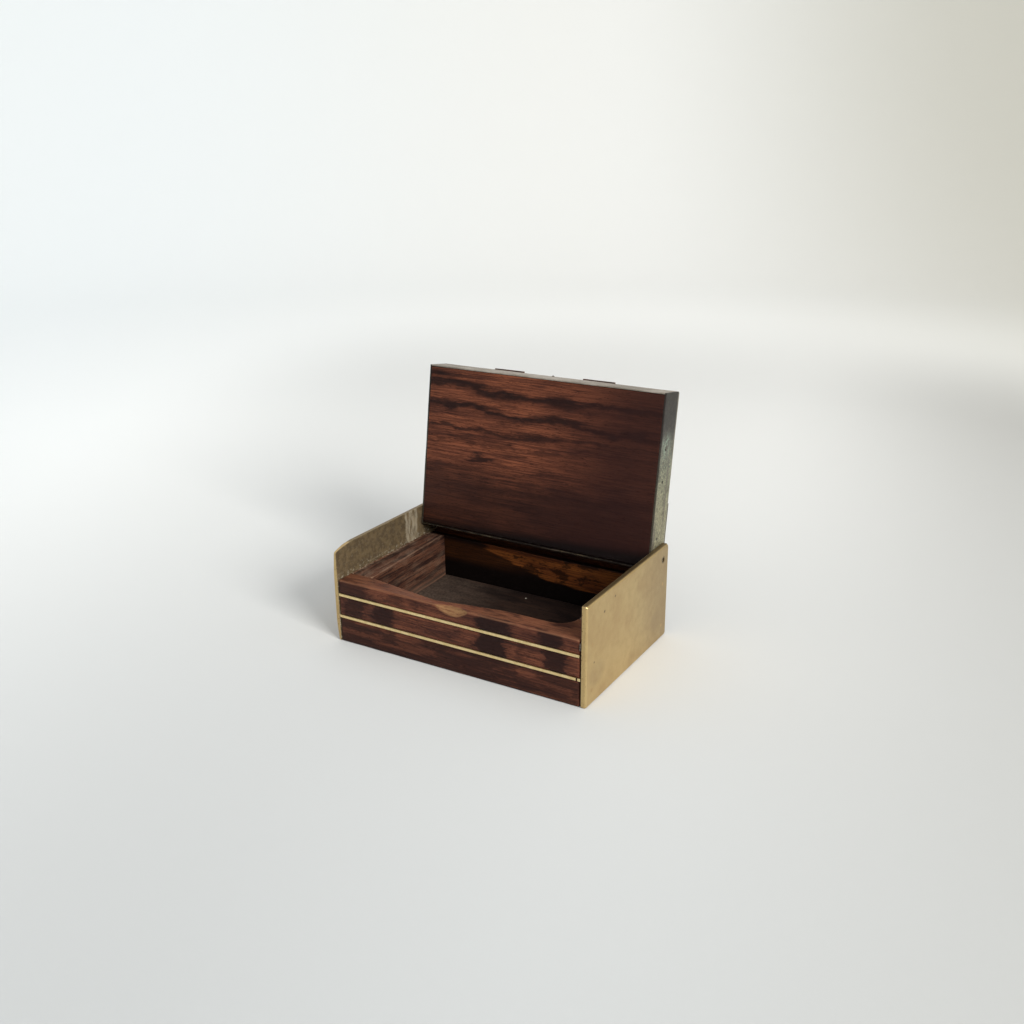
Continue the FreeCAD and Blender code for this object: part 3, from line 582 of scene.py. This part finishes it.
def verdigris_sheet():
    """The lid's end sheets: dark grey towards the front edge, ringed with green verdigris, then a
    mottled yellow-green down to the hinge."""
    g = Graph("verdigris_sheet")
    here = g.place_on_lid()
    _, thick, along = g.split(here)
    mottle = g.noise(here, 0.35, detail=6, rough=0.72)
    fine = g.noise(here, 1.6, detail=5, rough=0.7)
    place = g.add(along, g.times(g.math("SUBTRACT", mottle, 0.5), 14.0))
    share = g.math("DIVIDE", place, LID_LONG)
    colour = g.ramp(
        share, (0.0, "#736f5b"), (0.3, "#7f7a63"), (0.5, "#737463"), (0.64, "#626760"),
        (0.73, "#524f4a"), (0.82, "#3d3a38"), (1.0, "#383533"))
    pale = g.times(g.level(fine, 0.47, 0.6), g.level(along, 60.0, 48.0))
    colour = g.mix(g.times(pale, 0.7), colour, rgb("#aba78a"))
    patch = g.oval(thick, g.add(along, g.times(mottle, 6.0)), (6.0, 57.0), (6.4, 7.4), 0.7)
    ring = g.math("SUBTRACT", patch, g.oval(thick, along, (6.4, 52.6), (2.6, 1.7), 0.5))
    ring = g.times(g.most(ring, 0.0), g.level(g.add(mottle, g.times(fine, 0.4)), 0.6, 0.82))
    colour = g.mix(g.times(ring, 0.9), colour, rgb("#96a899"))
    streak = g.oval(g.add(thick, g.times(mottle, 4.0)), along, (12.2, 34), (1.5, 28), 0.7)
    short = g.oval(g.add(thick, g.times(mottle, 3.0)), along, (3.4, 12), (2.2, 14), 0.7)
    streak = g.most(streak, short)
    colour = g.mix(g.times(streak, 0.6), colour, rgb("#57504a"))
    specks = g.level(g.noise(here, 0.7, detail=6, rough=0.8), 0.53, 0.6)
    marked = g.times(g.level(along, 10.0, 40.0), 0.3)
    marked = g.most(g.oval(thick, along, (5.0, 42.0), (6.0, 5.5), 0.6), marked)
    specks = g.times(specks, marked)
    colour = g.mix(g.times(specks, 0.85), colour, rgb("#2f352f"))
    grime = g.noise(g.stretch(here, (1, 0.5, 0.35), (7, 7, 7)), detail=6, rough=0.75)
    colour = g.mix(g.times(g.level(grime, 0.5, 0.64), 0.75), colour, rgb("#4b473f"))
    inner = g.level(thick, 1.1, 0.5)
    colour = g.mix(g.times(inner, 0.85), colour, rgb("#241c18"))
    edge = g.times(g.level(thick, LID_THICK - 1.6, LID_THICK - 0.5), g.add(0.4, g.times(fine, 0.3)))
    colour = g.mix(edge, colour, rgb("#8f8b7d"))
    rough = g.add(0.42, g.times(mottle, 0.3))
    height = g.add(mottle, g.add(g.times(fine, 0.6), g.times(g.invert(specks), 0.8)))
    return g.finish(colour, rough, g.bump(height, 0.06), Metallic=0.55)


def dark_metal(name, tones, metallic=0.9, gloss=0.35):
    """Nails, hinge pins and the wedge."""
    g = Graph(name)
    here = g.place()
    mottle = g.noise(here, 1.1, detail=5, rough=0.7)
    colour = g.mix(g.level(mottle, 0.4, 0.62), rgb(tones[0]), rgb(tones[1]))
    rough = g.add(gloss, g.times(mottle, 0.25))
    return g.finish(colour, rough, g.bump(mottle, 0.03), Metallic=metallic)


def bar_wood():
    """Dark, close-grained wood of the two bars on the lid's front edge."""
    g = Graph("dark_bar_wood")
    here = g.place_on_lid()
    fibre = g.noise(g.stretch(here, (0.15, 3.0, 3.0)), detail=4, rough=0.65)
    colour = g.mix(g.level(fibre, 0.4, 0.62), rgb("#23130f"), rgb("#4a2b20"))
    colour = g.mix(g.times(g.level(g.mark("wear"), 0.15, 0.5), 0.4), colour, rgb("#7a5a44"))
    rough = g.add(0.4, g.times(fibre, 0.2))
    return g.finish(colour, rough, g.bump(fibre, 0.04), Specular_IOR_Level=0.3)


# ------------------------------------------------------------------------------ worn meshes

def new_piece(name, mesh):
    piece = bpy.data.objects.new(name, mesh)
    bpy.context.scene.collection.objects.link(piece)
    return piece


def apply_modifiers(piece):
    graph = bpy.context.evaluated_depsgraph_get()
    rough = piece.data
    mesh = bpy.data.meshes.new_from_object(piece.evaluated_get(graph))
    piece.modifiers.clear()
    piece.data = mesh
    bpy.data.meshes.remove(rough)


def read(source, kind, wide, number=float):
    """The values of one property of every element, as rows of an array."""
    values = np.zeros(len(source) * wide, number)
    source.foreach_get(kind, values)
    return values.reshape(-1, wide)


def write_attribute(mesh, name, values):
    attribute = mesh.attributes.new(name, "FLOAT", "POINT")
    attribute.data.foreach_set("value", values.astype(np.float32))


class Surface:
    """A mesh's points and neighbours as arrays, for smoothing and for finding its edges."""

    def __init__(self, mesh):
        self.mesh = mesh
        self.points = read(mesh.vertices, "co", 3)
        self.pairs = read(mesh.edges, "vertices", 2, np.int32)
        self.degree = np.maximum(np.bincount(self.pairs.ravel(), minlength=len(self.points)), 1)

    def mean(self, values):
        """Each point's mean over its neighbours."""
        total = np.zeros_like(values)
        np.add.at(total, self.pairs[:, 0], values[self.pairs[:, 1]])
        np.add.at(total, self.pairs[:, 1], values[self.pairs[:, 0]])
        return total / (self.degree[:, None] if values.ndim > 1 else self.degree)

    def smooth(self):
        self.points += (self.mean(self.points) - self.points) * 0.5

    def bend(self):
        """How far each point stands out of its neighbours, along its normal."""
        turn = self.mean(self.points) - self.points
        return -(turn * read(self.mesh.vertex_normals, "vector", 3)).sum(axis=1)

    def write(self):
        self.mesh.vertices.foreach_set("co", self.points.ravel())
        self.mesh.update()


def wander(points, size, amount, seed):
    """Slow random shifts of points: size is the length of a swing and amount its height, in metres."""
    shift = Vector((seed * 3.7, seed * 1.9, seed * 5.3))
    return np.array([noise.noise_vector(Vector(p) / size + shift) for p in points]) * amount


MARK_STRENGTH = 6          # brings the spread-out marks on a board's edges up to about 1


def worn_board(node, voxel, seed, rounds=4, on_lid=False, rubbed=None):
    """A board remeshed finely, with softened arrises and slight unevenness.

    voxel is in millimetres. Convex edges are marked as worn, as far as rubbed says so of the points,
    and inner corners are marked as crevices.
    """
    mesh = nodes[node].data.copy()
    if on_lid:
        mesh.transform(TO_LID)
    piece = new_piece(node + "_worn", mesh)
    remesh = piece.modifiers.new("remesh", "REMESH")
    remesh.mode = "VOXEL"
    remesh.voxel_size = voxel * MM
    apply_modifiers(piece)
    surface = Surface(piece.data)
    surface.smooth()
    surface.write()
    bend = surface.bend() / (voxel * MM)
    convex, hollow = np.maximum(bend, 0), np.maximum(-bend, 0)
    for _ in range(4):
        convex, hollow = surface.mean(convex), surface.mean(hollow)
    for _ in range(rounds):
        surface.smooth()
    surface.points += wander(surface.points, 9 * MM, 0.07 * MM, seed)
    surface.points += wander(surface.points, 1.7 * MM, 0.025 * MM, seed + 1)
    surface.write()
    if rubbed:
        convex *= rubbed(surface.points / MM)
    write_attribute(piece.data, "wear", convex * MARK_STRENGTH)
    write_attribute(piece.data, "crevice", hollow * MARK_STRENGTH)
    if on_lid:
        piece.data.transform(TO_LID.inverted())
    piece.data.shade_smooth()
    return piece


def slice_mesh(mesh, step, sides, border=0.7 * MM):
    """Cuts the mesh by planes step apart along the given axes, so that it can be bent a little, and
    again at border from its outline, so that worn edges stay narrow."""
    for axis in ("xyz".index(side) for side in sides):
        places = [v.co[axis] for v in mesh.verts]
        low, high = min(places), max(places)
        count = max(int((high - low) / step), 1)
        cuts = [low + (high - low) * i / count for i in range(1, count)]
        normal = Vector((0, 0, 0))
        normal[axis] = 1
        for cut in cuts + [low + border, high - border]:
            bmesh.ops.bisect_plane(
                mesh, geom=mesh.verts[:] + mesh.edges[:] + mesh.faces[:], dist=1e-7,
                plane_co=normal * cut, plane_no=normal)


# Angles between two faces that count as one flat face, as a corner to bevel and as a crease to keep.
FLAT, CORNER, CREASE = (math.radians(angle) for angle in (0.5, 28, 50))


def worn_metal(node, bevel, step, seed, swing, sides, on_lid=False, margin=None, bend=None):
    """A plate or sheet with bevelled edges and slight dents, and its worn edges marked.

    Only edges within margin of the outline are bevelled, so that bores stay sharp. bevel, step,
    swing and margin are in millimetres, and swing is the height of the dents. bend is a function
    that moves the points further, in millimetres.
    """
    work = bmesh.new()
    work.from_mesh(nodes[node].data)
    if on_lid:
        work.transform(TO_LID)
    bmesh.ops.remove_doubles(work, verts=work.verts[:], dist=1e-6)
    bmesh.ops.dissolve_limit(work, angle_limit=FLAT, verts=work.verts[:], edges=work.edges[:])
    corners = np.array([v.co for v in work.verts])
    low, high = corners.min(axis=0), corners.max(axis=0)

    def outlying(edge):
        middle = np.array((edge.verts[0].co + edge.verts[1].co) / 2)
        inset = np.minimum(middle - low, high - middle)[1:].min()
        return margin is None or inset < margin * MM

    sharp = [
        e for e in work.edges
        if e.is_manifold and e.calc_face_angle(0) > CORNER and outlying(e)
    ]
    bmesh.ops.bevel(
        work, geom=sharp, offset=bevel * MM, segments=2, profile=0.5, affect="EDGES",
        clamp_overlap=True)
    slice_mesh(work, step * MM, sides)
    bmesh.ops.triangulate(work, faces=[f for f in work.faces if len(f.verts) > 4])
    for edge in work.edges:
        edge.smooth = edge.calc_face_angle(0) < CREASE
    mesh = bpy.data.meshes.new(node + "_worn")
    work.to_mesh(mesh)
    work.free()
    surface = Surface(mesh)
    write_attribute(mesh, "wear", np.clip(surface.bend() / (bevel * MM), 0, 1))
    if bend:
        surface.points = bend(surface.points / MM) * MM
    surface.points += wander(surface.points, 16 * MM, swing * MM, seed)
    surface.points += wander(surface.points, 4 * MM, swing / 3 * MM, seed + 1)
    surface.write()
    if on_lid:
        mesh.transform(TO_LID.inverted())
    mesh.shade_smooth()
    piece = new_piece(node + "_worn", mesh)
    piece.modifiers.new("normals", "WEIGHTED_NORMAL").keep_sharp = True
    apply_modifiers(piece)
    return piece


def adopt(piece, node, material, body="box"):
    """The piece stands for a CAD node, which is hidden; it takes the given material and hangs from the
    body's empty.
    """
    piece.data.materials.clear()
    piece.data.materials.append(material)
    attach(piece, body)
    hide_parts(node)


def paint(node, material):
    """A CAD node that keeps its shape gets its material."""
    data = nodes[node].data
    data.materials.clear()
    data.materials.append(material)


# ------------------------------------------------------------------------------ the object

def near_rim(points):
    """1 on the upper arrises of the boards, and 0 below them."""
    return np.clip((points[:, 2] - RIM) / 0.6 + 1.8, 0, 1)


def build_tray(woods):
    """Each board with its wood, voxel size and rounds of smoothing."""
    boards = (
        ("tray_front", "front", 0.42, 6),
        ("tray_back", "back", 0.4, 2),
        ("tray_end_left", "ends", 0.42, 4),
        ("tray_end_right", "ends", 0.5, 4),
        ("tray_floor", "floor", 0.5, 2),
    )
    for seed, (node, wood, voxel, rounds) in enumerate(boards, start=1):
        adopt(worn_board(node, voxel, seed, rounds, rubbed=near_rim), node, woods[wood])


def drooped(points):
    """The left plate's worn front edge: its top corner droops, and it thins towards both ends."""
    run, deepest = 13.0, 1.9
    ahead = points[:, 1] - FACE
    short = np.clip(1 - ahead / run, 0, 1)
    height = points[:, 2] / PLATE_TOP
    points[:, 2] -= deepest * short ** 1.6 * height
    top = np.clip((points[:, 2] - 30) / 14, 0, 1) ** 1.5
    ends = top + np.clip((10 - points[:, 2]) / 10, 0, 1) ** 1.5
    outward = np.clip((-PLATE_IN - points[:, 0]) / 2.5, 0, 1)
    points[:, 0] += 1.3 * ends * outward * np.clip(1 - ahead / 7, 0, 1) ** 1.5
    return points


def build_plates():
    plate = brass_plate()
    for seed, side, bend in ((11, "left", drooped), (12, "right", None)):
        node = "side_plate_" + side
        piece = worn_metal(node, 0.14, 1.5, seed, 0.0, "yz", margin=2.5, bend=bend)
        adopt(piece, node, plate)


def build_lid(wood):
    panel = worn_board("lid_panel", 0.5, 21, 3, on_lid=True, rubbed=lambda points: 0.0)
    adopt(panel, "lid_panel", wood, "lid")
    cover = lid_sheet("tarnished_sheet", ("#4a4236", "#66594a", "#7b6c50", "#77786a"))
    strap = lid_sheet("tarnished_strap", ("#33332c", "#4c4a3c", "#6b6650", "#59604f"))
    # Each sheet, strap or bar with its bevel, step, swing and the axes it is sliced along.
    sheets = (
        ("lid_cover", cover, 0.12, 3.0, 0.05, "xz"),
        ("lid_end_left", verdigris_sheet(), 0.12, 1.6, 0.08, "yz"),
        ("lid_strap_left", strap, 0.15, 2.0, 0.06, "xz"),
        ("lid_bar_left", bar_wood(), 0.15, 1.5, 0.08, "xz"),
    )
    for seed, (node, material, bevel, step, swing, sides) in enumerate(sheets, start=22):
        for name in sorted({node, node.replace("left", "right")}):
            piece = worn_metal(name, bevel, step, seed, swing, sides, on_lid=True)
            adopt(piece, name, material, "lid")


def paint_small_parts():
    strip = thin_brass("brass_inlay", ("#dcc38c", "#ead3a0", "#bf9f63"))
    pin = thin_brass("brass_pin", ("#b59767", "#bfa06d", "#9c8157"))
    steel = dark_metal("steel_pin", ("#4c4842", "#d4d1cb"), gloss=0.18)
    nail = dark_metal("dark_nail", ("#2c2a27", "#5a564e"))
    for node in ("inlay_upper", "inlay_lower", "inlay_lower_stub"):
        paint(node, strip)
    for node in ("plate_pins_left", "plate_pins_right"):
        paint(node, pin)
    paint("joint_wedge", dark_metal("steel_wedge", ("#3b3531", "#7d7269")))
    for node in ("hinge_pin_left", "hinge_pin_right"):
        paint(node, steel)
    for node in ("lid_end_pins_left", "lid_end_pins_right", "lid_stud"):
        paint(node, nail)


# ------------------------------------------------------------------------------ stage, light and camera

BLACK = (0, 0, 0, 1)


def sweep():
    """A round pale table that curves up into a low wall on every side. Its tone follows three
    distances from the box: across and away from the camera, and reach in any direction. The tone is
    painted light and shade: darker near the camera and round the box, darker and warmer to the right,
    lighter and cooler far off and to the left."""
    flat, curve, rise, steps = 1.1, 0.7, 0.5, 14
    profile = [(0.0, 0.0), (flat * 0.5, 0.0), (flat, 0.0)]
    for i in range(1, steps + 1):
        angle = math.radians(90) * i / steps
        profile.append((flat + curve * math.sin(angle), curve * (1 - math.cos(angle))))
    profile.append((flat + curve, curve + rise))
    work = bmesh.new()
    ring = [work.verts.new((r, 0, z)) for r, z in profile]
    edges = [work.edges.new(pair) for pair in zip(ring, ring[1:])]
    bmesh.ops.spin(work, geom=ring + edges, cent=(0, 0, 0), axis=(0, 0, 1), angle=math.tau, steps=96,
                   use_duplicate=False, use_merge=True)
    bmesh.ops.remove_doubles(work, verts=work.verts[:], dist=1e-6)
    bmesh.ops.recalc_face_normals(work, faces=work.faces[:])
    if work.faces[0].normal.z < 0:
        bmesh.ops.reverse_faces(work, faces=work.faces[:])
    mesh = bpy.data.meshes.new("sweep")
    work.to_mesh(mesh)
    work.free()
    mesh.shade_smooth()
    floor = new_piece("sweep", mesh)
    g = Graph("pale_sweep")
    here = g.place()
    x, y, z = g.split(here)
    reach = g.math("SQRT", g.add(g.math("POWER", x, 2), g.math("POWER", y, 2)))
    across = g.add(g.times(x, 0.857), g.times(y, 0.515))
    away = g.add(g.times(x, -0.515), g.times(y, 0.857))
    # Painted light on the backdrop: pale and cool to the left, darker and warmer to the right.
    cool = g.mix(g.level(across, -700.0, 150.0), rgb("#f4f8f9"), rgb("#f6f6f3"))
    wall = g.mix(g.level(across, 150.0, 880.0), cool, rgb("#d0cec4"))
    # Painted shade: the floor darkens near the camera and the box, and lightens far off.
    rim = g.add(0.4, g.times(g.level(away, -600.0, -100.0), 0.6))
    lift = g.most(g.level(away, -420.0, 420.0), g.times(g.level(reach, 300.0, 900.0), rim))
    colour = g.mix(lift, rgb("#babdbe"), wall)
    # Painted shade on the floor to the right of the box.
    right = g.times(g.level(g.add(across, g.times(away, -0.35)), 60.0, 290.0), 0.85)
    right = g.times(right, g.level(reach, 800.0, 500.0))
    colour = g.mix(g.times(right, 0.56), colour, rgb("#969590"))
    # Painted shade over the floor round the box, fading out to its left.
    centre = g.times(g.level(across, -330.0, -80.0), g.level(reach, 900.0, 500.0))
    colour = g.mix(g.times(centre, 0.2), colour, BLACK)
    paper = g.bump(g.noise(here, 1.5), 0.02)
    mesh.materials.append(g.finish(colour, 0.85, paper, Specular_IOR_Level=0.2))


def area_light(name, at, target, size, power, colour=(1, 1, 1)):
    light = bpy.data.lights.new(name, "AREA")
    light.shape = "RECTANGLE"
    light.size, light.size_y = size
    light.energy = power
    light.color = colour
    lamp = bpy.data.objects.new(name, light)
    lamp.location = at
    lamp.rotation_euler = (Vector(target) - Vector(at)).to_track_quat("-Z", "Y").to_euler()
    bpy.context.scene.collection.objects.link(lamp)


def lights():
    world = bpy.data.worlds.new("studio")
    world.use_nodes = True
    world.node_tree.nodes["Background"].inputs["Color"].default_value = (0.985, 0.99, 1.0, 1)
    world.node_tree.nodes["Background"].inputs["Strength"].default_value = 0.89
    bpy.context.scene.world = world
    area_light("window", (0.95, -0.42, 0.62), (0, 0, 0.03), (0.45, 0.45), 17.0, (1.0, 0.985, 0.95))


def camera():
    """The box is seen from 31 degrees round to the right of its front and 20 degrees above."""
    data = bpy.data.cameras.new("camera")
    data.sensor_width = 36.0
    data.lens = 38.44
    eye = bpy.data.objects.new("camera", data)
    turn, dip, roll = (math.radians(a) for a in (31.007, 19.72, -0.522))
    facing = Euler((math.pi / 2 - dip, 0, turn)).to_matrix() @ Matrix.Rotation(roll, 3, "Z")
    eye.matrix_world = Matrix.Translation((0.23303, -0.37768, 0.21839)) @ facing.to_4x4()
    bpy.context.scene.collection.objects.link(eye)
    bpy.context.scene.camera = eye


woods = make_woods()
build_tray(woods)
build_plates()
build_lid(woods["lid"])
paint_small_parts()
sweep()
lights()
camera()
bpy.context.scene.view_settings.view_transform = "Standard"
